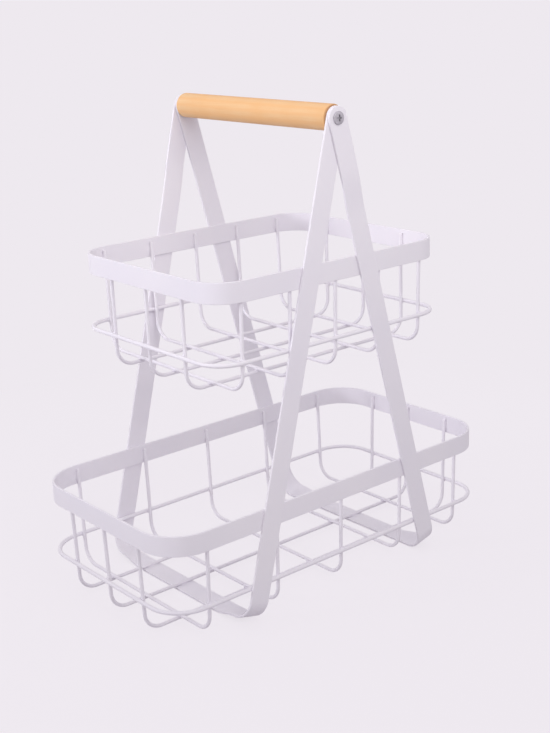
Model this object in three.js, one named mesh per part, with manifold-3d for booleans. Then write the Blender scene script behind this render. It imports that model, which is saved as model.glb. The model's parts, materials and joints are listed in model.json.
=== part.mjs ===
import * as THREE from 'three';
import { mergeVertices } from 'three/addons/utils/BufferGeometryUtils.js';
import Module from 'manifold-3d';

// A free-standing two-tier wire basket with a wooden carrying handle.
// Millimetres, +Z up. X runs along the baskets, Y along the handle, and the
// origin is on the table under the middle of the handle.

// Flat steel bar of the rims and the straps
const rimHeight = 16.5;
const strapWidth = 18;
const barThickness = 2;
// Round steel wire of the baskets
const wireDiameter = 3;
const ringDiameter = 3.4;
// Left between two welded pieces, and between two that turn on each other
const weldGap = 0.05;
const turnGap = 0.3;

// Outside sizes of the baskets
const lowerLength = 350;
const upperLength = 240;
const basketWidth = 190;
const lowerCorner = 35;
const upperCorner = 28;
// From a rim's top edge down to the underside of the floor wires
const basketDepth = 92;
// From one rim's top edge to the other's, and from the upper one to the handle's axis
const tierSpacing = 184;
const handleAboveRim = 108.5;

// Wires of a basket: five across, three along, one ring around them
const crossCount = 5;
const longCount = 3;
// From a basket's outside to the middle of the outermost wires
const lowerEndGap = 37.5;
const upperEndGap = 26;
const sideGap = 47.3;
const wireBend = 15;
const wireTopBelowRim = 3;
const ringBelowRim = 63;
const lowerRingCorner = 30;
const upperRingCorner = 24;
// The end walls have closed in by this much at the ring
const lowerEndIn = 1.8;
const upperEndIn = 0.2;
// Left between the ring and the straps that pass outside it
const ringToStrap = 0.4;

// Straps: two bars bent to a U that carry both baskets and the handle.
// On the table, their inner edges are this far apart.
const footSpacing = 179;
const strapBend = 18;
// A strap lies flat on the table this far past the outer long wires
const flatPastWire = 5;
// The outer strap steps in to the rims over this length, once the legs have parted
const stepLength = 42;
const stepBelowParting = 4;
const holeClearance = 0.3;

// Handle: a round wooden bar held by one screw at each end
const gripDiameter = 20.5;
const gripEdge = 1.5;
const pilotClearance = 0.1;
const pilotPastScrew = 1;
const screwShank = 5;
const screwHead = 10.2;
const screwHeadHeight = 1.4;
const screwHeadEdge = 0.5;
const screwInWood = 28;
const recessSpan = 5.4;
const recessSlot = 1.3;
const recessDepth = 1.1;

// How finely round shapes are cut; an arc in an outline gets two flats a segment
const arcSegments = 4;
const roundSegments = 32;
const twistSteps = 6;
const bendSteps = 8;
const stepSteps = 6;
const edgeSteps = 3;
const domeSteps = 4;

const coat = { color: 0xf1eef2, roughness: 0.45, metalness: 0 };
const wood = { color: 0xd79a5b, roughness: 0.5, metalness: 0 };
const steel = { color: 0x6f6c73, roughness: 0.35, metalness: 1 };

// The straps lie against the rims, so their inside faces set the handle's length
const strapInside = basketWidth / 2 + weldGap;
const strapStack = 2 * barThickness + weldGap;
// The lower basket's floor lies on the straps
const lowerRimTop = barThickness + weldGap + basketDepth;
const upperRimTop = lowerRimTop + tierSpacing;
const handleHeight = upperRimTop + handleAboveRim;
// Floor wires below the rim's top edge: the cross ones lie on the long ones
const longFloor = wireDiameter / 2 - basketDepth;
const crossFloor = longFloor + wireDiameter + weldGap;
const longPitch = (basketWidth - 2 * sideGap) / (longCount - 1);
// The side walls have closed in just enough for the ring to pass inside the straps
const sideIn = ringDiameter + ringToStrap - barThickness - weldGap;

const wasm = await Module();
wasm.setup();

function toSolid(geometry) {
  const bare = geometry.clone();
  bare.deleteAttribute('normal');
  bare.deleteAttribute('uv');
  const merged = mergeVertices(bare, 1e-4);
  return new wasm.Manifold(new wasm.Mesh({
    numProp: 3,
    vertProperties: new Float32Array(merged.attributes.position.array),
    triVerts: new Uint32Array(merged.index.array),
  }));
}

function toGeometry(solid) {
  const mesh = solid.getMesh();
  const geometry = new THREE.BufferGeometry();
  geometry.setAttribute('position', new THREE.BufferAttribute(mesh.vertProperties, 3));
  geometry.setIndex(new THREE.BufferAttribute(mesh.triVerts, 1));
  geometry.computeVertexNormals();
  return geometry;
}

function piece(name, geometry, finish) {
  const mesh = new THREE.Mesh(geometry, new THREE.MeshStandardMaterial(finish));
  mesh.name = name;
  return mesh;
}

// Outline of a rectangle with rounded corners, as a shape or as a hole
function roundedRectangle(outline, halfX, halfY, radius) {
  outline.absarc(halfX - radius, halfY - radius, radius, 0, Math.PI / 2);
  outline.absarc(radius - halfX, halfY - radius, radius, Math.PI / 2, Math.PI);
  outline.absarc(radius - halfX, radius - halfY, radius, Math.PI, 1.5 * Math.PI);
  outline.absarc(halfX - radius, radius - halfY, radius, 1.5 * Math.PI, 2 * Math.PI);
  outline.closePath();
  return outline;
}

// Wires have an eight-sided section: a flat band with its edges cut at 45 degrees
function octagon(diameter) {
  const flat = diameter * (Math.SQRT2 - 1);
  const cut = (diameter - flat) / 2;
  return { flat, cut, half: flat / 2 };
}

function extrudeWire(shape, section) {
  const geometry = new THREE.ExtrudeGeometry(shape, {
    depth: section.flat,
    bevelEnabled: true,
    bevelThickness: section.cut,
    bevelSize: section.cut,
    bevelSegments: 1,
    curveSegments: arcSegments,
  });
  geometry.translate(0, 0, -section.half);
  return geometry;
}

// Rim: a flat bar rolled to a rounded rectangle, standing on its edge
function rimGeometry(length, corner) {
  const shape = roundedRectangle(new THREE.Shape(), length / 2, basketWidth / 2, corner);
  const inside = roundedRectangle(
    new THREE.Path(),
    length / 2 - barThickness,
    basketWidth / 2 - barThickness,
    corner - barThickness,
  );
  shape.holes.push(inside);
  const geometry = new THREE.ExtrudeGeometry(shape, {
    depth: rimHeight,
    bevelEnabled: false,
    curveSegments: arcSegments,
  });
  geometry.translate(0, 0, -rimHeight);
  return geometry;
}

// Ring: a closed loop of wire that lies around the outside of the wall wires
function ringGeometry(halfX, halfY, corner) {
  const section = octagon(ringDiameter);
  const outerX = halfX + section.half;
  const outerY = halfY + section.half;
  const shape = roundedRectangle(new THREE.Shape(), outerX, outerY, corner + section.half);
  const innerX = halfX - section.half;
  const innerY = halfY - section.half;
  shape.holes.push(roundedRectangle(new THREE.Path(), innerX, innerY, corner - section.half));
  return extrudeWire(shape, section);
}

// A wire bent to a U: two walls that close in towards a level floor.
// Drawn in XZ with the tops below the rim's edge and the floor's middle at floorHeight.
function uWireGeometry(halfSpan, closedIn, floorHeight) {
  const section = octagon(wireDiameter);
  const topHeight = -wireTopBelowRim;
  const wallSlope = closedIn / (ringBelowRim - wireTopBelowRim);
  const lean = Math.atan(wallSlope);
  const centreHeight = floorHeight + wireBend;
  const wallAtCentre = halfSpan - wallSlope * (topHeight - centreHeight);
  const centreX = wallAtCentre - wireBend / Math.cos(lean);
  const sideX = section.half * Math.cos(lean);
  const sideZ = section.half * Math.sin(lean);
  // The cut edges stand out past the outline, so it stops short of the wire's ends
  const endX = halfSpan - section.cut * Math.sin(lean);
  const endHeight = topHeight - section.cut * Math.cos(lean);
  const outer = wireBend + section.half;
  const inner = wireBend - section.half;
  const down = -Math.PI / 2;
  const left = -Math.PI + lean;
  const shape = new THREE.Shape();
  shape.moveTo(endX - sideX, endHeight + sideZ);
  shape.lineTo(endX + sideX, endHeight - sideZ);
  shape.absarc(centreX, centreHeight, outer, -lean, down, true);
  shape.absarc(-centreX, centreHeight, outer, down, left, true);
  shape.lineTo(-endX - sideX, endHeight - sideZ);
  shape.lineTo(-endX + sideX, endHeight + sideZ);
  shape.absarc(-centreX, centreHeight, inner, left, down, false);
  shape.absarc(centreX, centreHeight, inner, down, -lean, false);
  shape.closePath();
  const geometry = extrudeWire(shape, section);
  geometry.rotateX(Math.PI / 2);
  return geometry;
}

// How far the inside of a rim is from its middle line, at a wire's place along it.
// In a rounded corner the wire lies against the flats that the corner is cut into.
function insideReach(halfAlong, halfAcross, corner, place) {
  const radius = corner - barThickness;
  const wireEdge = Math.abs(place) + octagon(wireDiameter).half;
  const past = Math.max(0, wireEdge - (halfAlong - corner));
  const turn = Math.PI / 2 / (2 * arcSegments);
  const flat = Math.floor(Math.asin(past / radius) / turn);
  const from = radius * Math.sin(flat * turn);
  const to = radius * Math.sin((flat + 1) * turn);
  const share = (past - from) / (to - from);
  const high = radius * Math.cos(flat * turn);
  const low = radius * Math.cos((flat + 1) * turn);
  return halfAcross - corner + high + (low - high) * share;
}

// One basket, with its rim's top edge at the group's own zero height
function basket(tier, length, corner, ringCorner, endGap, endIn) {
  const group = new THREE.Group();
  const wallGap = weldGap + wireDiameter / 2;
  const halfLength = length / 2;
  const halfWidth = basketWidth / 2;

  group.add(piece(`${tier}_rim`, rimGeometry(length, corner), coat));

  const crossPitch = (length - 2 * endGap) / (crossCount - 1);
  for (let k = 0; k < crossCount; k += 1) {
    const x = (k - (crossCount - 1) / 2) * crossPitch;
    const halfSpan = insideReach(halfLength, halfWidth, corner, x) - wallGap;
    const shape = uWireGeometry(halfSpan, sideIn, crossFloor);
    const wire = piece(`${tier}_cross_wire_${k + 1}`, shape, coat);
    wire.rotation.z = Math.PI / 2;
    wire.position.x = x;
    group.add(wire);
  }

  for (let k = 0; k < longCount; k += 1) {
    const y = ((longCount - 1) / 2 - k) * longPitch;
    const halfSpan = insideReach(halfWidth, halfLength, corner, y) - wallGap;
    const shape = uWireGeometry(halfSpan, endIn, longFloor);
    const wire = piece(`${tier}_long_wire_${k + 1}`, shape, coat);
    wire.position.y = y;
    group.add(wire);
  }

  const outsideWire = (wireDiameter + ringDiameter) / 2 + weldGap;
  const ringInset = barThickness + wallGap - outsideWire;
  const ringX = halfLength - ringInset - endIn;
  const ringY = halfWidth - ringInset - sideIn;
  const ring = piece(`${tier}_ring_wire`, ringGeometry(ringX, ringY, ringCorner), coat);
  ring.position.z = -ringBelowRim;
  group.add(ring);
  return group;
}

// The strap leans in its own plane, so that its middle line runs from the handle's
// axis to a foot whose inner bottom edge stays on the table.
const halfStrap = strapWidth / 2;
const footEdge = -footSpacing / 2;
const edgeToAxis = Math.hypot(footEdge, handleHeight);
const strapLean = Math.atan2(-footEdge, handleHeight) + Math.asin(halfStrap / edgeToAxis);
const legLength = Math.sqrt(edgeToAxis * edgeToAxis - halfStrap * halfStrap);
const flatReach = ((longCount - 1) / 2) * longPitch + flatPastWire;
const bendStart = strapInside + barThickness - strapBend;
// Below the handle's axis, measured down the leg
const stepStart = halfStrap / Math.tan(strapLean) + stepBelowParting;
const stepEnd = stepStart + stepLength;

function smoothStep(from, to, value) {
  const t = Math.min(1, Math.max(0, (value - from) / (to - from)));
  return t * t * (3 - 2 * t);
}

// Stations along the strap's middle, from its top at the front to its top at the back:
// place along Y, height up the leg, and the direction that faces out of the U
function strapStations() {
  const legY = strapInside + barThickness / 2;
  const radius = legY - bendStart;
  const bendHeight = barThickness / 2 + radius;
  const outward = barThickness + weldGap;
  const half = [];
  half.push({ y: 0, height: barThickness / 2, outY: 0, outHeight: -1 });
  for (let k = 0; k <= twistSteps; k += 1) {
    const y = flatReach + (bendStart - flatReach) * (k / twistSteps);
    half.push({ y, height: barThickness / 2, outY: 0, outHeight: -1 });
  }
  for (let k = 1; k <= bendSteps; k += 1) {
    const angle = (Math.PI / 2) * (k / bendSteps);
    const outY = Math.sin(angle);
    const outHeight = -Math.cos(angle);
    const y = bendStart + radius * outY;
    half.push({ y, height: bendHeight + radius * outHeight, outY, outHeight });
  }
  const front = [{ y: legY, height: legLength, outY: 1, outHeight: 0 }];
  const back = [];
  for (let k = 0; k <= stepSteps; k += 1) {
    const below = stepEnd - stepLength * (k / stepSteps);
    const shift = outward * smoothStep(stepEnd, stepStart, below);
    back.push({ y: legY + shift, height: legLength - below, outY: 1, outHeight: 0 });
  }
  back.push({ y: legY + outward, height: legLength, outY: 1, outHeight: 0 });
  const toFront = (s) => ({ y: -s.y, height: s.height, outY: -s.outY, outHeight: s.outHeight });
  const frontHalf = half.slice(1).reverse();
  return [...front.map(toFront), ...frontHalf.map(toFront), ...half, ...back];
}

function strapGeometry() {
  const stations = strapStations();
  const last = stations.length - 1;
  const bar = new THREE.BoxGeometry(strapWidth, barThickness, last, 1, 1, last);
  const position = bar.attributes.position;
  for (let i = 0; i < position.count; i += 1) {
    const across = position.getX(i) - halfStrap;
    const outside = position.getY(i);
    const s = stations[Math.round(position.getZ(i) + last / 2)];
    const y = s.y + outside * s.outY;
    const height = s.height + outside * s.outHeight;
    const lean = strapLean * smoothStep(flatReach, bendStart, Math.abs(s.y));
    const x = footEdge + across * Math.cos(lean) + height * Math.sin(lean);
    const z = height * Math.cos(lean) - across * Math.sin(lean);
    position.setXYZ(i, x, y, z);
  }
  let solid = toSolid(bar);
  const holeRadius = screwShank / 2 + holeClearance;
  const throughBar = 2 * barThickness;
  for (const y of [stations[0].y, stations[last].y]) {
    const eye = new THREE.CylinderGeometry(halfStrap, halfStrap, barThickness, roundSegments);
    eye.rotateY(Math.PI / 2 + strapLean);
    eye.translate(0, y, handleHeight);
    const hole = new THREE.CylinderGeometry(holeRadius, holeRadius, throughBar, roundSegments);
    hole.translate(0, y, handleHeight);
    solid = solid.add(toSolid(eye)).subtract(toSolid(hole));
  }
  return toGeometry(solid);
}

// Grip: a turned wooden bar with eased ends and a pilot hole in each
function gripGeometry() {
  const half = strapInside - turnGap;
  const radius = gripDiameter / 2;
  const pilot = screwShank / 2 + pilotClearance;
  const holeEnd = strapInside - screwInWood - pilotPastScrew;
  const profile = [
    new THREE.Vector2(0, -holeEnd),
    new THREE.Vector2(pilot, -holeEnd),
    new THREE.Vector2(pilot, -half),
  ];
  for (let k = 0; k <= edgeSteps; k += 1) {
    const angle = (Math.PI / 2) * (k / edgeSteps);
    const x = radius - gripEdge + gripEdge * Math.sin(angle);
    const y = -half + gripEdge - gripEdge * Math.cos(angle);
    profile.push(new THREE.Vector2(x, y));
  }
  const mirrored = profile.map((p) => new THREE.Vector2(p.x, -p.y)).reverse();
  return new THREE.LatheGeometry([...profile, ...mirrored], roundSegments);
}

// Screw: a plain shank with a point, a low domed head and a cross recess.
// Drawn along Y with the underside of the head at zero and the head towards -Y.
function screwGeometry() {
  const length = turnGap + strapStack + screwInWood;
  const shank = screwShank / 2;
  const head = screwHead / 2;
  const profile = [new THREE.Vector2(0, -screwHeadHeight)];
  for (let k = 1; k <= domeSteps; k += 1) {
    const angle = (Math.PI / 2) * (k / domeSteps);
    const rise = (screwHeadHeight - screwHeadEdge) * Math.cos(angle);
    profile.push(new THREE.Vector2(head * Math.sin(angle), -screwHeadEdge - rise));
  }
  profile.push(new THREE.Vector2(head, 0));
  profile.push(new THREE.Vector2(shank, 0));
  profile.push(new THREE.Vector2(shank, length - screwShank));
  profile.push(new THREE.Vector2(0, length));
  let solid = toSolid(new THREE.LatheGeometry(profile, roundSegments));
  for (const [spanX, spanZ] of [[recessSpan, recessSlot], [recessSlot, recessSpan]]) {
    const slot = new THREE.BoxGeometry(spanX, 2 * recessDepth, spanZ);
    slot.translate(0, -screwHeadHeight, 0);
    solid = solid.subtract(toSolid(slot));
  }
  return toGeometry(solid);
}

const lowerBasket = basket(
  'lower',
  lowerLength,
  lowerCorner,
  lowerRingCorner,
  lowerEndGap,
  lowerEndIn,
);
lowerBasket.position.z = lowerRimTop;

const upperBasket = basket(
  'upper',
  upperLength,
  upperCorner,
  upperRingCorner,
  upperEndGap,
  upperEndIn,
);
upperBasket.position.z = upperRimTop;

// The two straps are alike: the right one is the left one turned half round,
// so each lies inside the other at one end of the handle.
const leftStrap = piece('frame_strap_left', strapGeometry(), coat);
const rightStrap = piece('frame_strap_right', strapGeometry(), coat);
rightStrap.rotation.z = Math.PI;

const handle = new THREE.Group();
handle.position.z = handleHeight;
handle.add(piece('handle_grip', gripGeometry(), wood));
const headSeat = strapInside + strapStack + turnGap;
const frontScrew = piece('handle_screw_front', screwGeometry(), steel);
frontScrew.position.y = -headSeat;
const backScrew = piece('handle_screw_back', screwGeometry(), steel);
backScrew.position.y = headSeat;
backScrew.rotation.z = Math.PI;
handle.add(frontScrew, backScrew);

const group = new THREE.Group();
group.add(leftStrap, rightStrap, lowerBasket, upperBasket, handle);

export default group;
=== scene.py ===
"""Looks of a free-standing tray of two wire baskets with a wooden carrying handle.

Metres, +Z up. X runs along the baskets, Y along the handle, and the origin lies on the
table under the middle of the handle.
"""

import json
import math

import bmesh
import bpy
from mathutils import Color, Matrix, Vector


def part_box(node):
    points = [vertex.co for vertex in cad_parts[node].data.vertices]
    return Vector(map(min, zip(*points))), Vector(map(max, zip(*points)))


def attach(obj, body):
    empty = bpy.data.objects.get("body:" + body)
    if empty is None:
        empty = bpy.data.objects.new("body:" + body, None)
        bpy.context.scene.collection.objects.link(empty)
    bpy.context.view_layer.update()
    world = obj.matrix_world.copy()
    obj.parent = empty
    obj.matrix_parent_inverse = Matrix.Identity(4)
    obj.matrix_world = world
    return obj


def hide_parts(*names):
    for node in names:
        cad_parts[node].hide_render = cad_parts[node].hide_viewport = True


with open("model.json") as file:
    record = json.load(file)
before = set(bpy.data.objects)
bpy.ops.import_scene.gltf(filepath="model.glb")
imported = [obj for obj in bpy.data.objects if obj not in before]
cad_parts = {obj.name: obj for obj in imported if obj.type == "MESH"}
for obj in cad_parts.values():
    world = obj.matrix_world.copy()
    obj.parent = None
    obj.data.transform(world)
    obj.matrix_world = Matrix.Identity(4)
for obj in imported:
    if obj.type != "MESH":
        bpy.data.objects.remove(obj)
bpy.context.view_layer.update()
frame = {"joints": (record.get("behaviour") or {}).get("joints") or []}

# Long wires: three in each basket, cut from drawn steel wire and bent to a wide U.
# They lie lowest in the floor, and their ends are welded to the inside of the rim.
# Like all the steel here they get one coat of satin white powder, baked to a film.
mm = 0.001
tiers = ("lower", "upper")
long_count = 3
wire_bend = 15 * mm
wire_sides = 20
wire_end_edge = 0.9 * mm
edge_segments = 4
bend_steps = 14
# The end walls close in on their way down, by this much where the ring wire crosses
end_closes_in = {"lower": 1.8 * mm, "upper": 0.2 * mm}
ring_below_wire_end = 60 * mm

coat_cool = (237, 233, 241)
coat_warm = (241, 237, 243)
coat_roughness = {"low": 0.40, "high": 0.54}
coat_gloss = 0.3
coat_peel_size = 1.3 * mm
coat_peel_height = 0.05 * mm
coat_peel_strength = 0.5
coat_cloud_size = 60 * mm
ripple_detail = 2.0
cloud_detail = 4.0
# Nearly all of a noise pattern lies between these
noise_low = 0.3
noise_high = 0.7
full_channel = 255


def paint(red, green, blue):
    """A colour as read off a screen, 0 to 255, in the linear values that a shader takes."""
    shown = Color([channel / full_channel for channel in (red, green, blue)])
    return (*shown.from_srgb_to_scene_linear(), 1.0)


def put(tree, socket, value):
    """Puts a value on a node's input, or a link from another node's output."""
    if isinstance(value, bpy.types.NodeSocket):
        tree.links.new(value, socket)
    else:
        socket.default_value = value


def add_node(tree, kind, inputs=None, **settings):
    """A new shader node, with its settings and with values or links on its inputs."""
    made = tree.nodes.new(kind)
    for key, value in settings.items():
        setattr(made, key, value)
    for socket, value in (inputs or {}).items():
        put(tree, made.inputs[socket], value)
    return made


def two_tones(tree, mask, first, second, start=noise_low, end=noise_high):
    """A colour that goes from the first paint to the second as the mask rises."""
    ramp = add_node(tree, "ShaderNodeValToRGB", {"Fac": mask})
    low, high = ramp.color_ramp.elements
    low.position, high.position = start, end
    low.color, high.color = paint(*first), paint(*second)
    return ramp.outputs["Color"]


def spread(tree, mask, low, high, start=noise_low, end=noise_high):
    """A value that goes from low to high as the mask rises."""
    limits = {"From Min": start, "From Max": end, "To Min": low, "To Max": high}
    ranged = add_node(tree, "ShaderNodeMapRange", {"Value": mask, **limits})
    return ranged.outputs["Result"]


def make_unevenness():
    """A node group that tells a surface's fine ripple and its broad, cloudy change."""
    tree = bpy.data.node_groups.new("surface_unevenness", "ShaderNodeTree")
    details = {"Ripple": ripple_detail, "Cloud": cloud_detail}
    sockets = tree.interface
    sockets.new_socket("Place", in_out="INPUT", socket_type="NodeSocketVector")
    for pattern in details:
        count = f"{pattern}s per metre"
        sockets.new_socket(count, in_out="INPUT", socket_type="NodeSocketFloat")
        sockets.new_socket(pattern, in_out="OUTPUT", socket_type="NodeSocketFloat")
    given = add_node(tree, "NodeGroupInput").outputs
    masks = {}
    for pattern, detail in details.items():
        scale = given[f"{pattern}s per metre"]
        noise = {"Vector": given["Place"], "Scale": scale, "Detail": detail}
        masks[pattern] = add_node(tree, "ShaderNodeTexNoise", noise).outputs["Fac"]
    add_node(tree, "NodeGroupOutput", masks)
    return tree


unevenness = make_unevenness()


def surface_change(tree, place, sizes):
    """The masks of one surface's unevenness, for the sizes of its ripples or clouds."""
    inputs = {f"{pattern} per metre": 1 / size for pattern, size in sizes.items()}
    inputs["Place"] = place
    return add_node(tree, "ShaderNodeGroup", inputs, node_tree=unevenness).outputs


def new_material(name):
    """An empty material, its node tree, the place on a piece, and the socket for its shader."""
    material = bpy.data.materials.new(name)
    material.use_nodes = True
    tree = material.node_tree
    tree.nodes.clear()
    place = add_node(tree, "ShaderNodeTexCoord").outputs["Object"]
    surface = add_node(tree, "ShaderNodeOutputMaterial").inputs["Surface"]
    return material, tree, place, surface


def cover(tree, surface, relief, look):
    """Gives a material its shader, with the look of the surface and its fine relief."""
    bump = add_node(tree, "ShaderNodeBump", relief)
    inputs = {**look, "Normal": bump.outputs["Normal"]}
    shader = add_node(tree, "ShaderNodeBsdfPrincipled", inputs)
    tree.links.new(shader.outputs["BSDF"], surface)


def powder_coat():
    """Satin white with a lilac cast, and the faint orange peel of baked powder."""
    material, tree, place, surface = new_material("white_powder_coat")
    sizes = {"Ripples": coat_peel_size, "Clouds": coat_cloud_size}
    uneven = surface_change(tree, place, sizes)
    peel = {
        "Height": uneven["Ripple"],
        "Strength": coat_peel_strength,
        "Distance": coat_peel_height,
    }
    look = {
        "Base Color": two_tones(tree, uneven["Cloud"], coat_cool, coat_warm),
        "Specular IOR Level": coat_gloss,
        "Roughness": spread(tree, uneven["Cloud"], **coat_roughness),
    }
    cover(tree, surface, peel, look)
    return material


coat = powder_coat()


def corners(edges):
    """The points of some edges, each once and in order."""
    return list(dict.fromkeys(point for edge in edges for point in edge.verts))


def far_end(grown):
    """The open edges at the far end of a stretch that an operator has just made."""
    return [part for part in grown if isinstance(part, bmesh.types.BMEdge)]


def feed(bm, end, step):
    """Runs the open end of a bar or wire straight on, and gives the new end."""
    grown = far_end(bmesh.ops.extrude_edge_only(bm, edges=end)["geom"])
    bmesh.ops.translate(bm, verts=corners(grown), vec=step)
    return grown


def bend(bm, end, centre, axis, angle):
    """Bends the open end of a bar or wire round a centre, and gives the new end."""
    turned = bmesh.ops.spin(
        bm,
        geom=corners(end) + end,
        cent=centre,
        axis=axis,
        dvec=(0, 0, 0),
        angle=angle,
        steps=bend_steps,
        use_merge=False,
        use_normal_flip=False,
        use_duplicate=False,
    )
    return far_end(turned["geom_last"])


def round_off(bm, parts, offset, segments, affect="EDGES"):
    """Rounds the edges of a piece, or the corners of a flat outline."""
    bmesh.ops.bevel(
        bm,
        geom=parts,
        offset=offset,
        offset_type="OFFSET",
        affect=affect,
        segments=segments,
        profile=0.5,
        material=-1,
    )


def shift_piece(bm, step):
    """Moves a whole piece."""
    bmesh.ops.translate(bm, verts=bm.verts[:], vec=step)


def u_wire(radius, half_span, top, floor, lean):
    """A U of wire in the XZ plane, from one top end down, along the floor and up again.

    Half span, top and floor are those of the wire's middle line.
    """
    bm = bmesh.new()
    centre_z = floor + wire_bend
    centre_x = half_span - math.tan(lean) * (top - centre_z) - wire_bend / math.cos(lean)
    wall_length = (top - centre_z) / math.cos(lean) + wire_bend * math.tan(lean)
    start = Matrix.Translation((-half_span, 0, top)) @ Matrix.Rotation(-lean, 4, "Y")
    bmesh.ops.create_circle(bm, cap_ends=False, radius=radius, segments=wire_sides, matrix=start)
    first_end = list(bm.edges)
    bend_axis = Vector((0, -1, 0))
    turn = math.pi / 2 - lean
    inwards = math.sin(lean) * wall_length
    drop = math.cos(lean) * wall_length
    end = feed(bm, first_end, Vector((inwards, 0, -drop)))
    end = bend(bm, end, (-centre_x, 0, centre_z), bend_axis, turn)
    end = feed(bm, end, Vector((2 * centre_x, 0, 0)))
    end = bend(bm, end, (centre_x, 0, centre_z), bend_axis, turn)
    last_end = feed(bm, end, Vector((inwards, 0, drop)))
    bmesh.ops.edgeloop_fill(bm, edges=first_end)
    bmesh.ops.edgeloop_fill(bm, edges=last_end)
    bmesh.ops.recalc_face_normals(bm, faces=bm.faces[:])
    round_off(bm, first_end + last_end, wire_end_edge, edge_segments)
    return bm


def add_piece(name, bm, material, body, slot, *nodes):
    """Makes the mesh a smooth piece that rides on a body and stands for its CAD nodes."""
    mesh = bpy.data.meshes.new(name)
    bm.to_mesh(mesh)
    bm.free()
    mesh.shade_smooth()
    mesh.materials.append(material)
    piece = bpy.data.objects.new(name, mesh)
    bpy.context.scene.collection.objects.link(piece)
    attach(piece, body)
    if nodes:
        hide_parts(*nodes)
    return piece


def add_steel(name, bm, *nodes):
    """Makes the mesh a coated piece of the welded frame."""
    return add_piece(name, bm, coat, "frame", "coated_steel", *nodes)


for tier in tiers:
    lean = math.atan(end_closes_in[tier] / ring_below_wire_end)
    for k in range(long_count):
        node = f"{tier}_long_wire_{k + 1}"
        low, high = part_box(node)
        radius = (high.y - low.y) / 2
        wire = u_wire(radius, high.x - radius, high.z, low.z + radius, lean)
        shift_piece(wire, (0, (low.y + high.y) / 2, 0))
        add_steel(f"{tier}_lengthwise_wire_{k + 1}", wire, node)

# Cross wires: five in each basket, of the same wire, bent to a narrower U.
# They lie on the long wires, are welded to them where they cross, and come up inside
# the rim on both sides. Their walls close in just enough for the ring to pass the straps.
cross_count = 5
side_closes_in = 1.75 * mm
side_lean = math.atan(side_closes_in / ring_below_wire_end)
quarter_turn = Matrix.Rotation(math.pi / 2, 3, "Z")


def turn_piece(bm, matrix):
    """Turns a whole piece about the origin."""
    bmesh.ops.rotate(bm, verts=bm.verts[:], cent=(0, 0, 0), matrix=matrix)


for tier in tiers:
    for k in range(cross_count):
        node = f"{tier}_cross_wire_{k + 1}"
        low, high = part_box(node)
        radius = (high.x - low.x) / 2
        wire = u_wire(radius, high.y - radius, high.z, low.z + radius, side_lean)
        turn_piece(wire, quarter_turn)
        shift_piece(wire, ((low.x + high.x) / 2, 0, 0))
        add_steel(f"{tier}_crosswise_wire_{k + 1}", wire, node)

# Ring wires: one closed loop round each basket, of slightly thicker wire.
# Each is bent to a rounded rectangle, butt welded and then spot welded to every wall wire.
# It passes inside the straps, so only the straps show where the two cross.
ring_corner = {"lower": 30 * mm, "upper": 24 * mm}
merge_gap = 0.01 * mm
facing_x = Matrix.Rotation(math.pi / 2, 4, "Y")


def close_loop(bm, end, half_x, half_y, corner):
    """Takes a section at the middle of the front once round a rounded rectangle."""
    side_x, side_y = half_x - corner, half_y - corner
    heading = Vector((1, 0, 0))
    legs = [
        (side_x, (side_x, -side_y, 0)),
        (2 * side_y, (side_x, side_y, 0)),
        (2 * side_x, (-side_x, side_y, 0)),
        (2 * side_y, (-side_x, -side_y, 0)),
    ]
    for length, centre in legs:
        end = feed(bm, end, heading * length)
        end = bend(bm, end, centre, (0, 0, 1), math.pi / 2)
        heading.rotate(quarter_turn)
    feed(bm, end, heading * side_x)
    bmesh.ops.remove_doubles(bm, verts=bm.verts[:], dist=merge_gap)
    bmesh.ops.recalc_face_normals(bm, faces=bm.faces[:])


for tier in tiers:
    node = f"{tier}_ring_wire"
    low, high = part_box(node)
    radius = (high.z - low.z) / 2
    half_x, half_y = high.x - radius, high.y - radius
    section = Matrix.Translation((0, -half_y, low.z + radius)) @ facing_x
    loop = bmesh.new()
    bmesh.ops.create_circle(
        loop, cap_ends=False, radius=radius, segments=wire_sides, matrix=section
    )
    close_loop(loop, list(loop.edges), half_x, half_y, ring_corner[tier])
    add_steel(f"{tier}_ring_loop", loop, node)

# Rims: flat steel bar stood on its edge and rolled to a rounded rectangle.
# The wires end inside it, a little below its top edge. The bar is drawn with round
# edges, and the coat rounds them further.
rim_corner = {"lower": 35 * mm, "upper": 28 * mm}
bar_thickness = 2 * mm
bar_edge = 0.45 * mm


def even_flats(piece):
    """Keeps the flat faces flat in the light, although their edges are rounded."""
    piece.modifiers.new("even_flats", "WEIGHTED_NORMAL").mode = "FACE_AREA"


for tier in tiers:
    node = f"{tier}_rim"
    low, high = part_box(node)
    half_x = high.x - bar_thickness / 2
    half_y = high.y - bar_thickness / 2
    stand = Matrix.Translation((0, -half_y, (low.z + high.z) / 2)) @ facing_x
    half_size = Matrix.Diagonal(((high.z - low.z) / 2, bar_thickness / 2, 1, 1))
    band = bmesh.new()
    bmesh.ops.create_grid(band, x_segments=1, y_segments=1, size=1, matrix=stand @ half_size)
    round_off(band, band.verts[:], bar_edge, edge_segments, affect="VERTICES")
    bmesh.ops.delete(band, geom=band.faces[:], context="FACES_ONLY")
    close_loop(band, list(band.edges), half_x, half_y, rim_corner[tier] - bar_thickness / 2)
    rim = add_steel(f"{tier}_rim_band", band, node)
    even_flats(rim)

# Spot welds: where a wire is pressed on another piece and fused, a little steel is
# squeezed out round it. Under the coat it shows as a small, soft mound that runs out
# into both pieces. At a rim it goes nearly all the way that the wire lies against it.
weld_sides = 20
weld_rings = 14
weld_spread = 0.8 * mm
weld_rise = 0.9 * mm
rim_weld_spread = 2.0 * mm
rim_weld_rise = 1.4 * mm
rim_weld_reach = 6.5 * mm
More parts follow.
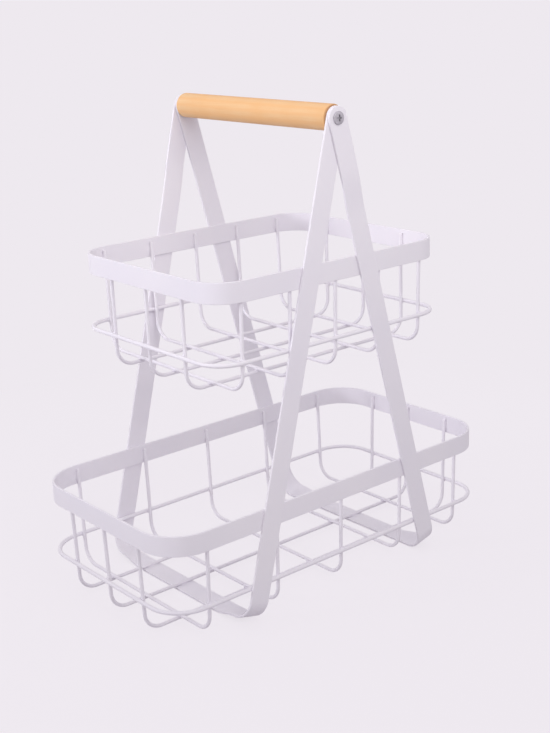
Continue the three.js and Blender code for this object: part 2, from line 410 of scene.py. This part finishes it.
# The plane of a rim's mound lies this far past the wire, just inside the bar
weld_sunk = 0.25 * mm
upright = {
    "X": facing_x,
    "Y": Matrix.Rotation(math.pi / 2, 4, "X"),
    "Z": Matrix.Identity(4),
}


def soft_mound():
    """A mound of unit reach on both sides of a plane, which runs out softly all round."""
    bm = bmesh.new()
    bmesh.ops.create_uvsphere(bm, u_segments=weld_sides, v_segments=weld_rings, radius=1)
    for point in bm.verts:
        away = min(1, point.co.xy.length)
        point.co.z = math.copysign((1 + math.cos(math.pi * away)) / 2, point.co.z)
    mesh = bpy.data.meshes.new("soft_mound")
    bm.to_mesh(mesh)
    bm.free()
    return mesh


mound = soft_mound()


def add_weld(bm, place, rises, reach):
    """One weld: a mound in the corners where two pieces touch, that rises along X, Y or Z."""
    earlier = len(bm.verts)
    bm.from_mesh(mound)
    shape = Matrix.Translation(place) @ Matrix.Diagonal((*reach, 1)) @ upright[rises]
    bmesh.ops.transform(bm, verts=bm.verts[earlier:], matrix=shape)


for tier in tiers:
    welds = bmesh.new()
    rim_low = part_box(f"{tier}_rim")[0]
    ring_low, ring_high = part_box(f"{tier}_ring_wire")
    ring_thickness = ring_high.z - ring_low.z
    ring_height = (ring_low.z + ring_high.z) / 2
    long_boxes = [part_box(f"{tier}_long_wire_{k + 1}") for k in range(long_count)]
    cross_boxes = [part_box(f"{tier}_cross_wire_{k + 1}") for k in range(cross_count)]
    wire_radius = (long_boxes[0][1].y - long_boxes[0][0].y) / 2
    beside = wire_radius + weld_spread
    at_rim = wire_radius + rim_weld_spread
    rim_weld_height = (rim_low.z + long_boxes[0][1].z) / 2
    for low, high in long_boxes:
        y = (low.y + high.y) / 2
        for side in (-1, 1):
            rim_place = (side * (high.x + weld_sunk), y, rim_weld_height)
            add_weld(welds, rim_place, "X", (rim_weld_rise, at_rim, rim_weld_reach))
            ring_place = (side * (ring_high.x - ring_thickness), y, ring_height)
            add_weld(welds, ring_place, "X", (weld_rise, beside, beside))
    for low, high in cross_boxes:
        x = (low.x + high.x) / 2
        for side in (-1, 1):
            rim_place = (x, side * (high.y + weld_sunk), rim_weld_height)
            add_weld(welds, rim_place, "Y", (at_rim, rim_weld_rise, rim_weld_reach))
            ring_place = (x, side * (ring_high.y - ring_thickness), ring_height)
            add_weld(welds, ring_place, "Y", (beside, weld_rise, beside))
        for long_low, long_high in long_boxes:
            y = (long_low.y + long_high.y) / 2
            add_weld(welds, (x, y, low.z), "Z", (beside, beside, weld_rise))
    add_steel(f"{tier}_spot_welds", welds)

# Straps: two bars of flat steel, each cut to length with a round eye punched at both
# ends, and bent to a U. They lean against each other, so near the floor each leg is
# twisted until the bar lies flat. One leg of each is stepped out to pass over the other.
strap_width = 18 * mm
half_strap = strap_width / 2
strap_bend = 18 * mm
strap_step = 2.05 * mm
step_length = 42 * mm
step_below_parting = 4 * mm
flat_past_wire = 5 * mm
eye_hole_radius = 2.8 * mm
eye_sides = 64
twist_lines = 14
step_lines = 8
sharp_corner = math.radians(60)
cut_gap = 0.001 * mm

handle_axis = Vector(frame["joints"][0]["pos_m"])
strap_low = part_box("frame_strap_left")[0]
foot_edge = strap_low.x + strap_width
edge_to_axis = math.hypot(foot_edge, handle_axis.z)
strap_lean = math.atan2(-foot_edge, handle_axis.z) + math.asin(half_strap / edge_to_axis)
leg_length = math.sqrt(edge_to_axis**2 - half_strap**2)
outer_wire_low, outer_wire_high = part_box("lower_long_wire_1")
flat_reach = (outer_wire_low.y + outer_wire_high.y) / 2 + flat_past_wire
# The bends are made of short flats, which touch the arc that the bar's middle follows
bend_start = -strap_low.y - strap_bend
bend_middle = strap_bend - bar_thickness / 2
bend_spacing = 2 * bend_middle * math.tan(math.pi / 4 / bend_steps)
bend_end = bend_start + bend_steps * bend_spacing
front_eye = bend_end + leg_length - strap_bend
# The step is two equal arcs, one after the other
step_angle = 2 * math.atan(strap_step / step_length)
step_radius = step_length / 2 / math.sin(step_angle)
step_spacing = 2 * step_radius * math.tan(step_angle / 2 / step_lines)
step_along = 2 * step_lines * step_spacing
step_top = half_strap / math.tan(strap_lean) + step_below_parting
back_eye = front_eye + step_along - step_length
step_start = back_eye - step_top - step_along
half_turn = Matrix.Rotation(math.pi, 3, "Z")


def ease(share):
    """Starts and stops softly between 0 and 1."""
    return share * share * (3 - 2 * share)


def bend_lines(side):
    """Lines across the bar where it turns, from its middle out: place, axis, centre, angle."""
    lines = []
    for k in range(twist_lines):
        share = (k + 0.5) / twist_lines
        place = side * (flat_reach + (bend_start - flat_reach) * share)
        angle = strap_lean * (ease((k + 1) / twist_lines) - ease(k / twist_lines))
        lines.append((place, Vector((0, 1, 0)), Vector((foot_edge, 0, 0)), angle))
    across = Vector((side, 0, 0))
    for k in range(bend_steps):
        place = side * (bend_start + bend_spacing * (k + 0.5))
        centre = Vector((0, place, bar_thickness / 2))
        lines.append((place, across, centre, math.pi / 2 / bend_steps))
    if side > 0:
        for k in range(2 * step_lines):
            place = step_start + step_spacing * (k + 0.5)
            outwards = -1 if k < step_lines else 1
            centre = Vector((0, place, bar_thickness / 2))
            lines.append((place, across, centre, outwards * step_angle / step_lines))
    return lines


def punched_eye(bm, place):
    """A round end with a hole in it, squared off on the side that faces the bar's middle."""
    centre = Vector((foot_edge - half_strap, place, 0))
    there = Matrix.Translation(centre)
    circle = {"cap_ends": False, "segments": eye_sides, "matrix": there}
    hole = bmesh.ops.create_circle(bm, radius=eye_hole_radius, **circle)["verts"]
    outline = bmesh.ops.create_circle(bm, radius=half_strap, **circle)["verts"]
    loops = dict.fromkeys(edge for point in hole + outline for edge in point.link_edges)
    bmesh.ops.bridge_loops(bm, edges=list(loops))
    for point in outline:
        away = point.co - centre
        if away.y * place < 0:
            point.co = centre + away * (half_strap / max(abs(away.x), abs(away.y)))
    shoulder = centre.y - math.copysign(half_strap, place)
    on_shoulder = {point for point in outline if abs(point.co.y - shoulder) < merge_gap}
    return [edge for edge in loops if edge.is_valid and set(edge.verts) <= on_shoulder]


def cut_line(bm, place, across):
    """Draws a line right across a mesh, so that it can bend or be pressed in there."""
    everything = bm.verts[:] + bm.edges[:] + bm.faces[:]
    bmesh.ops.bisect_plane(bm, geom=everything, dist=cut_gap, plane_co=place, plane_no=across)


def strap():
    """The left strap: cut flat, punched, given its round edges, and bent line by line."""
    bm = bmesh.new()
    shoulder = punched_eye(bm, -front_eye)
    punched_eye(bm, back_eye)
    feed(bm, shoulder, Vector((0, front_eye + back_eye - 2 * half_strap, 0)))
    bmesh.ops.remove_doubles(bm, verts=bm.verts[:], dist=merge_gap)
    top = bmesh.ops.extrude_face_region(bm, geom=bm.faces[:])["geom"]
    top_points = [part for part in top if isinstance(part, bmesh.types.BMVert)]
    bmesh.ops.translate(bm, verts=top_points, vec=(0, 0, bar_thickness))
    bmesh.ops.recalc_face_normals(bm, faces=bm.faces[:])
    sharp = [edge for edge in bm.edges if edge.calc_face_angle(0) > sharp_corner]
    round_off(bm, sharp, bar_edge, edge_segments)
    lines = bend_lines(1) + bend_lines(-1)
    for place, *_ in lines:
        cut_line(bm, (0, place, 0), (0, 1, 0))
    flat_place = bm.verts.layers.float.new("flat_place")
    for point in bm.verts:
        point[flat_place] = point.co.y
    for place, axis, centre, angle in sorted(lines, key=lambda line: -abs(line[0])):
        side = math.copysign(1, place)
        past = [point for point in bm.verts if side * (point[flat_place] - place) > merge_gap]
        turn = Matrix.Rotation(angle, 3, axis)
        bmesh.ops.rotate(bm, verts=past, cent=centre, matrix=turn)
    bm.verts.layers.float.remove(flat_place)
    return bm


for name in ("left", "right"):
    bar = strap()
    if name == "right":
        turn_piece(bar, half_turn)
    piece = add_steel(f"{name}_strap_bar", bar, f"frame_strap_{name}")
    even_flats(piece)

# Foot welds: the lower basket's long wires lie on the flat feet of the straps and are
# spot welded to them, six in all.
foot_weld_reach = 6 * mm
foot_welds = bmesh.new()
for side in (-1, 1):
    for k in range(long_count):
        low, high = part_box(f"lower_long_wire_{k + 1}")
        beside = (high.y - low.y) / 2 + weld_spread
        place = (side * (foot_edge - half_strap), (low.y + high.y) / 2, bar_thickness)
        add_weld(foot_welds, place, "Z", (foot_weld_reach, beside, weld_rise))
add_steel("foot_spot_welds", foot_welds)
bpy.data.meshes.remove(mound)

# Grip: a round bar of pale hardwood, turned smooth, with eased ends and a pilot hole in
# each. It is finished with oil, so the grain shows through a low sheen.
grip_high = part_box("handle_grip")[1]
grip_end = grip_high.y
grip_radius = grip_high.z - handle_axis.z
grip_sides = 72
grip_edge = 2.2 * mm
grip_edge_segments = 6
pilot_radius = 2.6 * mm
pilot_depth = 29 * mm
pilot_end = grip_end - pilot_depth

wood_light = (238, 197, 149)
wood_mid = (237, 185, 129)
wood_deep = (214, 150, 88)
# Darker end grain, which also serves as painted shade where the grip's ends meet the strap eyes
wood_end_grain_and_shade = (150, 96, 58)
wood_roughness = {"low": 0.52, "high": 0.64}
wood_gloss = 0.3
year_ring = 5.5 * mm
year_ring_waver = {"Distortion": 2.2, "Detail Scale": 0.6}
pith_offset = Vector((19 * mm, 0, 27 * mm))
grain_wave_along = 0.10
wood_cloud_size = 24 * mm
fibre_across = 0.35 * mm
fibre_along = 22 * mm
fibre_detail = 3.0
pore_across = 0.22 * mm
pore_along = 2.4 * mm
pore_depth = 0.06 * mm
pore_strength = 0.35
# The darker end grain, with painted shade where the grip meets the strap eyes, begins and is
# full this far inside the grip's end
end_shade_begins = 1.65 * mm
end_shade_full = 0.22 * mm
# How much of its tone each pattern adds, and between which of its values that comes in
ring_tone = {"low": 0.0, "high": 0.6, "start": 0.2, "end": 0.95}
cloud_tone = {"low": 0.0, "high": 0.7}
fibre_tone = {"low": 0.0, "high": 0.18, "start": 0.45, "end": 0.75}
pore_tone = {"low": 0.0, "high": 0.35, "start": 0.66, "end": 0.78}
end_grain_and_shade_tone = {
    "low": 0.0,
    "high": 0.75,
    "start": grip_end - end_shade_begins,
    "end": grip_end - end_shade_full,
}
pore_floor = {"low": 1.0, "high": 0.0, "start": 0.62, "end": 0.78}
# At a scale of 1, the rings of a ring pattern are this far apart
ring_unit = math.pi / 10
ring_detail = 2.0


def ring_pattern(tree, place, spacing, waver):
    """Rings round a line along Y, at a spacing, that waver a little."""
    inputs = {"Vector": place, "Scale": ring_unit / spacing, "Detail": ring_detail, **waver}
    kind = {"wave_type": "RINGS", "rings_direction": "Y"}
    return add_node(tree, "ShaderNodeTexWave", inputs, **kind).outputs["Fac"]


def stretched(tree, place, across, along):
    """Noise drawn out along the grip, as wood fibres and pores are."""
    sizes = {"Vector": place, "Scale": (1 / across, 1 / along, 1 / across)}
    mapped = add_node(tree, "ShaderNodeMapping", sizes).outputs["Vector"]
    noise = {"Vector": mapped, "Scale": 1.0, "Detail": fibre_detail}
    return add_node(tree, "ShaderNodeTexNoise", noise).outputs["Fac"]


def blend_colours(tree, factor, first, second):
    """The second colour laid over the first, as much as the factor says."""
    mixer = add_node(tree, "ShaderNodeMix", data_type="RGBA")
    sockets = {socket.identifier: socket for socket in mixer.inputs}
    put(tree, sockets["Factor_Float"], factor)
    put(tree, sockets["A_Color"], first)
    put(tree, sockets["B_Color"], second)
    return next(socket for socket in mixer.outputs if socket.identifier == "Result_Color")


def turned_wood():
    """Pale honey hardwood: year rings cut lengthwise, fine fibres and short pores."""
    material, tree, place, surface = new_material("pale_turned_wood")
    to_pith = {"Vector": place, "Location": pith_offset - handle_axis}
    around_pith = add_node(tree, "ShaderNodeMapping", to_pith).outputs["Vector"]
    drawn_out = {"Vector": around_pith, "Scale": (1, grain_wave_along, 1)}
    ring_place = add_node(tree, "ShaderNodeMapping", drawn_out).outputs["Vector"]
    rings = ring_pattern(tree, ring_place, year_ring, year_ring_waver)
    cloud = surface_change(tree, place, {"Clouds": wood_cloud_size})["Cloud"]
    fibres = stretched(tree, place, fibre_across, fibre_along)
    pores = stretched(tree, place, pore_across, pore_along)
    along = add_node(tree, "ShaderNodeSeparateXYZ", {"Vector": place}).outputs["Y"]
    from_middle = add_node(tree, "ShaderNodeMath", {0: along}, operation="ABSOLUTE")
    layers = [
        (rings, ring_tone, wood_mid),
        (cloud, cloud_tone, wood_mid),
        (fibres, fibre_tone, wood_deep),
        (pores, pore_tone, wood_deep),
        # At both ends: darker end grain, and painted shade where the grip meets the strap eyes
        (from_middle.outputs["Value"], end_grain_and_shade_tone, wood_end_grain_and_shade),
    ]
    colour = paint(*wood_light)
    for mask, tone, over in layers:
        share = spread(tree, mask, **tone)
        colour = blend_colours(tree, share, colour, paint(*over))
    relief = {
        "Height": spread(tree, pores, **pore_floor),
        "Strength": pore_strength,
        "Distance": pore_depth,
    }
    look = {
        "Base Color": colour,
        "Specular IOR Level": wood_gloss,
        "Roughness": spread(tree, fibres, **wood_roughness),
    }
    cover(tree, surface, relief, look)
    return material


def spun(points, axis_place, sides):
    """Turns an outline of (radius, place along the axis) points round the handle's axis."""
    bm = bmesh.new()
    verts = [bm.verts.new(axis_place + Vector((radius, along, 0))) for radius, along in points]
    edges = [bm.edges.new(pair) for pair in zip(verts, verts[1:])]
    bmesh.ops.spin(
        bm,
        geom=verts + edges,
        cent=axis_place,
        axis=(0, 1, 0),
        dvec=(0, 0, 0),
        angle=2 * math.pi,
        steps=sides,
        use_merge=True,
        use_normal_flip=False,
        use_duplicate=False,
    )
    bmesh.ops.remove_doubles(bm, verts=bm.verts[:], dist=cut_gap)
    bmesh.ops.recalc_face_normals(bm, faces=bm.faces[:])
    return bm


def on_end_rim(edge):
    """Whether an edge is part of the outer rim of one of the grip's end faces."""
    middle = (edge.verts[0].co + edge.verts[1].co) / 2 - handle_axis
    from_axis = math.hypot(middle.x, middle.z)
    return from_axis > grip_radius - grip_edge and abs(middle.y) > grip_end - grip_edge


grip_outline = [
    (0, -pilot_end),
    (pilot_radius, -pilot_end),
    (pilot_radius, -grip_end),
    (grip_radius, -grip_end),
    (grip_radius, grip_end),
    (pilot_radius, grip_end),
    (pilot_radius, pilot_end),
    (0, pilot_end),
]
grip = spun(grip_outline, handle_axis, grip_sides)
end_rims = [edge for edge in grip.edges if on_end_rim(edge)]
round_off(grip, end_rims, grip_edge, grip_edge_segments)
grip_piece = add_piece("grip_dowel", grip, turned_wood(), "handle", "wood", "handle_grip")
even_flats(grip_piece)

# Screws: one at each end of the grip, of dull zinc-plated steel, driven through the
# eyes of both straps into the wood. The head is low and nearly flat, and the cross
# recess in it is painted a little darker, as painted shade.
screw_head_radius = 5.1 * mm
screw_shank_radius = 2.5 * mm
screw_edge = 0.5 * mm
screw_tip_share = 0.02
# Left under the head, so that the handle can turn
head_gap = 0.3 * mm
head_sides = 48
head_rings = 6
head_sharp = math.radians(38)
recess_span = 5.4 * mm
recess_slot = 1.3 * mm
recess_depth = 1.1 * mm
recess_taper = 0.6
recess_edge = 0.12 * mm
recess_edge_segments = 2
recess_field_radius = 3.3 * mm
# The head's top is divided at the sides of the slots, and halfway along and at the end of an arm
recess_lines = [
    side * place
    for place in (recess_slot / 2, (recess_slot + recess_span) / 4, recess_span / 2)
    for side in (-1, 1)
]
facing_front = Matrix.Rotation(math.pi / 2, 3, "X")

steel_light = (206, 202, 209)
steel_dark = (188, 185, 191)
# Darker steel for the cross recess: painted shade in the recess
recess_shade_light = (190, 187, 193)
recess_shade_dark = (164, 161, 167)
steel_change = {"start": 0.35, "end": 0.65}
steel_roughness = {"low": 0.62, "high": 0.74}
steel_ripple_size = 0.4 * mm
steel_cloud_size = 2.4 * mm
turning_mark = 0.16 * mm
mark_waver = {"Distortion": 1.2, "Detail Scale": 1.5}
mark_depth = 0.02 * mm
mark_strength = 0.2


def dull_steel(name, dark, light):
    """Zinc-plated steel, with the fine rings that turning leaves on the head."""
    material, tree, place, surface = new_material(name)
    to_axis = {"Vector": place, "Location": -handle_axis}
    centred = add_node(tree, "ShaderNodeMapping", to_axis).outputs["Vector"]
    marks = ring_pattern(tree, centred, turning_mark, mark_waver)
    sizes = {"Ripples": steel_ripple_size, "Clouds": steel_cloud_size}
    uneven = surface_change(tree, place, sizes)
    relief = {"Height": marks, "Strength": mark_strength, "Distance": mark_depth}
    look = {
        "Base Color": two_tones(tree, uneven["Cloud"], dark, light, **steel_change),
        "Metallic": 1.0,
        "Roughness": spread(tree, uneven["Ripple"], **steel_roughness),
    }
    cover(tree, surface, relief, look)
    return material


def in_recess(face):
    """Whether a face of the head's top lies in one of the two crossing slots."""
    across = sorted(abs(place) for place in face.calc_center_median().xy)
    return across[0] < recess_slot / 2 and across[1] < recess_span / 2


def sink_recess(bm):
    """Presses a cross into the head, with upright sides and sloping ends."""
    slots = [face for face in bm.faces if in_recess(face)]
    sunk = bmesh.ops.extrude_face_region(bm, geom=slots)["geom"]
    bmesh.ops.delete(bm, geom=slots, context="FACES")
    floor_points = [part for part in sunk if isinstance(part, bmesh.types.BMVert)]
    bmesh.ops.translate(bm, verts=floor_points, vec=(0, 0, -recess_depth))
    # The recess floor and sides take the darker second material, as painted shade
    for face in {face for point in floor_points for face in point.link_faces}:
        face.material_index = 1
    for arm_end in ((1, 0, 0), (-1, 0, 0), (0, 1, 0), (0, -1, 0)):
        along = Vector(arm_end)
        arm = [point for point in floor_points if point.co.dot(along) > recess_slot / 2]
        shorter = Matrix.Scale(recess_taper, 4, along)
        from_slot = Matrix.Translation(-along * recess_slot / 2)
        bmesh.ops.transform(bm, verts=arm, matrix=shorter, space=from_slot)
    mouth = [
        edge
        for edge in bm.edges
        if not edge.is_boundary and sum(face.material_index for face in edge.link_faces) == 1
    ]
    round_off(bm, mouth, recess_edge, recess_edge_segments)


def screw(seat, height, length):
    """A screw along Y, pushed in from the front: its head's underside is at the seat."""
    bm = bmesh.new()
    bmesh.ops.create_circle(bm, cap_ends=True, radius=recess_field_radius, segments=head_sides)
    for across in (Vector((1, 0, 0)), Vector((0, 1, 0))):
        for place in recess_lines:
            cut_line(bm, across * place, across)
    rim = [edge for edge in bm.edges if edge.is_boundary]
    first_angle = math.asin(recess_field_radius / screw_head_radius)
    last_size = recess_field_radius
    for k in range(head_rings):
        angle = first_angle + (math.pi / 2 - first_angle) * (k + 1) / head_rings
        size = screw_head_radius * math.sin(angle)
        rim = far_end(bmesh.ops.extrude_edge_only(bm, edges=rim)["geom"])
        bmesh.ops.scale(bm, verts=corners(rim), vec=(size / last_size, size / last_size, 1))
        last_size = size
    for point in bm.verts:
        share = min(1, point.co.xy.length / screw_head_radius)
        point.co.z = screw_edge + (height - screw_edge) * math.sqrt(1 - share * share)
    rim = feed(bm, rim, Vector((0, 0, -screw_edge)))
    shank_and_tip = [
        (screw_shank_radius / screw_head_radius, 0),
        (1, screw_shank_radius - length),
        (screw_tip_share, -screw_shank_radius),
    ]
    for share, step in shank_and_tip:
        rim = feed(bm, rim, Vector((0, 0, step)))
        bmesh.ops.scale(bm, verts=corners(rim), vec=(share, share, 1))
    bmesh.ops.edgeloop_fill(bm, edges=rim)
    bmesh.ops.recalc_face_normals(bm, faces=bm.faces[:])
    sink_recess(bm)
    turn_piece(bm, facing_front)
    shift_piece(bm, handle_axis + Vector((0, seat, 0)))
    return bm


zinc = dull_steel("dull_zinc_steel", steel_dark, steel_light)
recess_shaded_zinc = dull_steel("recess_shade_steel", recess_shade_dark, recess_shade_light)
screw_low, screw_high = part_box("handle_screw_front")
head_seat = strap_low.y - strap_step - head_gap
head_height = head_seat - screw_low.y
screw_length = screw_high.y - head_seat
for name in ("front", "back"):
    steel = screw(head_seat, head_height, screw_length)
    if name == "back":
        turn_piece(steel, half_turn)
    node = f"handle_screw_{name}"
    piece = add_piece(f"{name}_screw", steel, zinc, "handle", "screw_steel", node)
    # The second material paints shade into the cross recess
    piece.data.materials.append(recess_shaded_zinc)
    piece.data.set_sharp_from_angle(angle=head_sharp)

# Floor: a pale table under the tray. The camera sees it and the world behind it in one
# even tone, and close to the tray the floor keeps part of its soft shadow.
backdrop_tone = (238, 233, 239)
floor_size = 6.0
floor_drop = 0.2 * mm
floor_tone = (206, 202, 207)
shadow_near = 0.20
shadow_far = 0.60
shadow_share = 0.25
near_glow = 1.145


def calculate(tree, operation, first, second):
    """The result of one operation on two values."""
    made = add_node(tree, "ShaderNodeMath", {0: first, 1: second}, operation=operation)
    return made.outputs["Value"]


def seen_directly(tree):
    """1 for rays that show the background: straight, mirrored or through glass."""
    path = add_node(tree, "ShaderNodeLightPath").outputs
    seen = calculate(tree, "MAXIMUM", path["Is Camera Ray"], path["Is Glossy Ray"])
    return calculate(tree, "MAXIMUM", seen, path["Is Transmission Ray"])


def mix_shaders(tree, factor, first, second):
    """The first shader where the factor is 0, and the second where it is 1."""
    inputs = {0: factor, 1: first, 2: second}
    return add_node(tree, "ShaderNodeMixShader", inputs).outputs["Shader"]


def pale_floor():
    """Lit by the lamps for all other rays, and mostly one even tone for the camera."""
    material, tree, place, surface = new_material("pale_floor")
    away = add_node(tree, "ShaderNodeVectorMath", {0: place}, operation="LENGTH")
    reach = away.outputs["Value"]
    even = spread(tree, reach, 1 - shadow_share, 1.0, shadow_near, shadow_far)
    shown = calculate(tree, "MULTIPLY", even, seen_directly(tree))
    glow_level = spread(tree, reach, near_glow, 1.0, shadow_near, shadow_far)
    glow_inputs = {"Color": paint(*backdrop_tone), "Strength": glow_level}
    glow = add_node(tree, "ShaderNodeEmission", glow_inputs)
    lit = add_node(tree, "ShaderNodeBsdfDiffuse", {"Color": paint(*floor_tone)})
    shader = mix_shaders(tree, shown, lit.outputs["BSDF"], glow.outputs["Emission"])
    tree.links.new(shader, surface)
    return material


table = bmesh.new()
bmesh.ops.create_grid(
    table,
    x_segments=1,
    y_segments=1,
    size=floor_size / 2,
    matrix=Matrix.Translation((0, 0, -floor_drop)),
)
floor_mesh = bpy.data.meshes.new("floor")
table.to_mesh(floor_mesh)
table.free()
floor_mesh.materials.append(pale_floor())
floor = bpy.data.objects.new("floor", floor_mesh)
bpy.context.scene.collection.objects.link(floor)

# Light: an even pale room gives most of it, and two large soft lamps shape the tray. One
# stands far off to the left and higher than the handle, and one is near, in front and
# above. Their beams are narrowed and aimed high, so the upper basket is lit more.
room_tone = (237, 234, 238)
room_level = 0.794
lamp_size = 0.6
lamps = {
    "left_lamp": {
        "place": (-1.50, 0.60, 0.66),
        "aim": (0, 0, 0.36),
        "beam": 34,
        "power": 0.67,
        "tone": (249, 250, 255),
    },
    "front_lamp": {
        "place": (-0.20, -0.69, 0.79),
        "aim": (-0.06, 0, 0.40),
        "beam": 66,
        "power": 0.57,
        "tone": (255, 254, 252),
    },
}


def pale_room():
    """A world that lights the tray evenly, with a backdrop of its own tone."""
    world = bpy.data.worlds.new("pale_room")
    world.use_nodes = True
    tree = world.node_tree
    tree.nodes.clear()
    room_light = {"Color": paint(*room_tone), "Strength": room_level}
    room = add_node(tree, "ShaderNodeBackground", room_light)
    backdrop_light = {"Color": paint(*backdrop_tone), "Strength": 1.0}
    backdrop = add_node(tree, "ShaderNodeBackground", backdrop_light)
    seen = seen_directly(tree)
    shown = mix_shaders(tree, seen, room.outputs["Background"], backdrop.outputs["Background"])
    add_node(tree, "ShaderNodeOutputWorld", {"Surface": shown})
    return world


bpy.context.scene.world = pale_room()
for name, setting in lamps.items():
    light = bpy.data.lights.new(name, "AREA")
    light.shape = "SQUARE"
    light.size = lamp_size
    light.spread = math.radians(setting["beam"])
    light.energy = setting["power"]
    light.color = paint(*setting["tone"])[:3]
    lamp = bpy.data.objects.new(name, light)
    lamp.location = setting["place"]
    towards = Vector(setting["aim"]) - lamp.location
    lamp.rotation_euler = towards.to_track_quat("-Z", "Y").to_euler()
    lamp.visible_camera = False
    bpy.context.scene.collection.objects.link(lamp)

# Camera: it stands in front and to the left, a little higher than the handle.
# The middle of its lens was found from the lines of the baskets and lies beside the
# picture's middle, so the view is shifted slightly.
picture_height = 733
picture_middle = (275, 366.5)
lens_middle = (310, 356)
lens_pixels = 1248.6
camera_place = Vector((-0.6393, -0.7950, 0.4846))
camera_heading = math.radians(-40.944)
camera_pitch = math.radians(16.677)
camera_roll = math.radians(-1.842)

view = bpy.data.cameras.new("camera")
view.lens = lens_pixels * view.sensor_width / picture_height
view.shift_x = (picture_middle[0] - lens_middle[0]) / picture_height
view.shift_y = (lens_middle[1] - picture_middle[1]) / picture_height
camera = bpy.data.objects.new("camera", view)
turned = Matrix.Rotation(camera_heading, 4, "Z")
tilted = Matrix.Rotation(math.pi / 2 - camera_pitch, 4, "X")
rolled = Matrix.Rotation(camera_roll, 4, "Z")
camera.matrix_world = Matrix.Translation(camera_place) @ turned @ tilted @ rolled
bpy.context.scene.collection.objects.link(camera)
bpy.context.scene.camera = camera
bpy.context.scene.view_settings.view_transform = "Standard"
